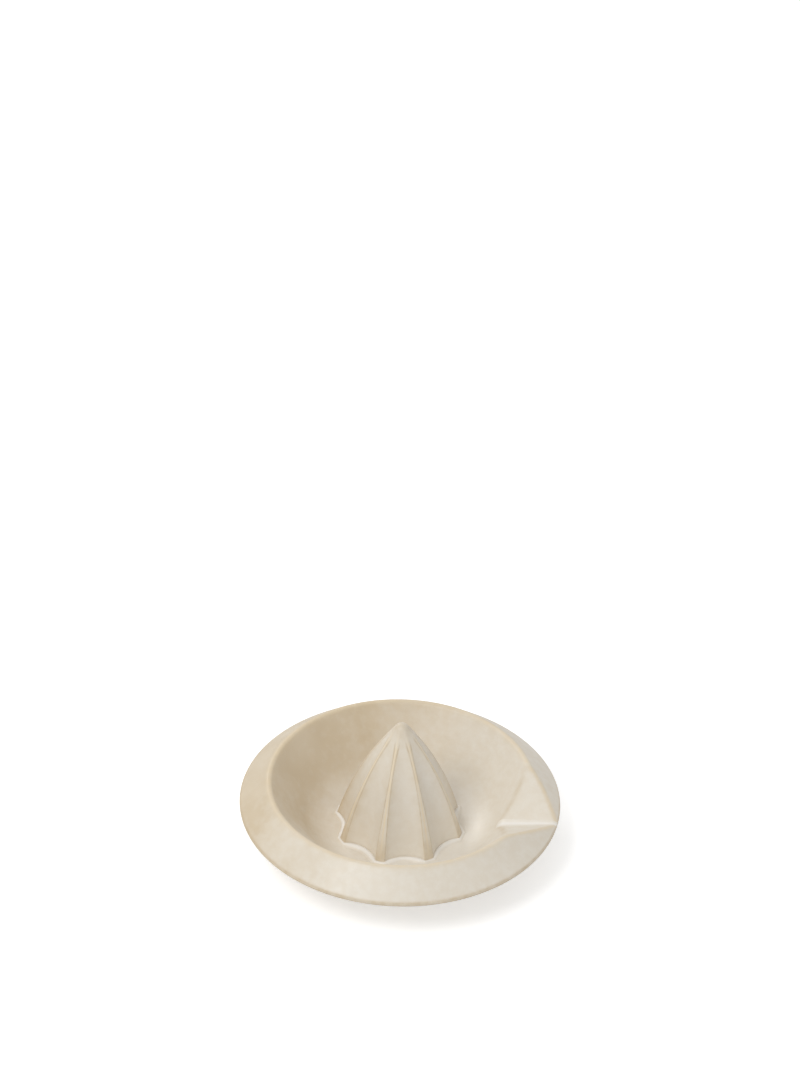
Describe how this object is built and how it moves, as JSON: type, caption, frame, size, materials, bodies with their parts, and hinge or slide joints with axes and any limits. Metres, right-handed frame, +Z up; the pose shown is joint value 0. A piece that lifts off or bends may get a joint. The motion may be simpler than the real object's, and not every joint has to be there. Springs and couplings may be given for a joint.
{
  "type": "ceramic citrus juicer dish",
  "caption": "Shallow round dish with a fluted cone in its middle, a sloping brim and a V-shaped pouring spout, for pressing juice from halved citrus fruit by hand.",
  "frame": {"origin": "on the reamer's axis at the table that the foot ring stands on", "axes": "+Z up the reamer's axis, +X out along the pouring spout"},
  "size_m": [0.16, 0.16, 0.0709],
  "materials": {
    "cream_glaze": "satin",
    "bare_clay": "matt",
    "pooled_glaze": "gloss"
  },
  "bodies": {
    "root": {"bowl": "cream_glaze", "brim": "cream_glaze", "spout": "cream_glaze", "reamer": "cream_glaze", "foot_ring": "bare_clay", "reamer_glaze_bead": "pooled_glaze", "spout_glaze_bead": "pooled_glaze"}
  },
  "joints": []
}
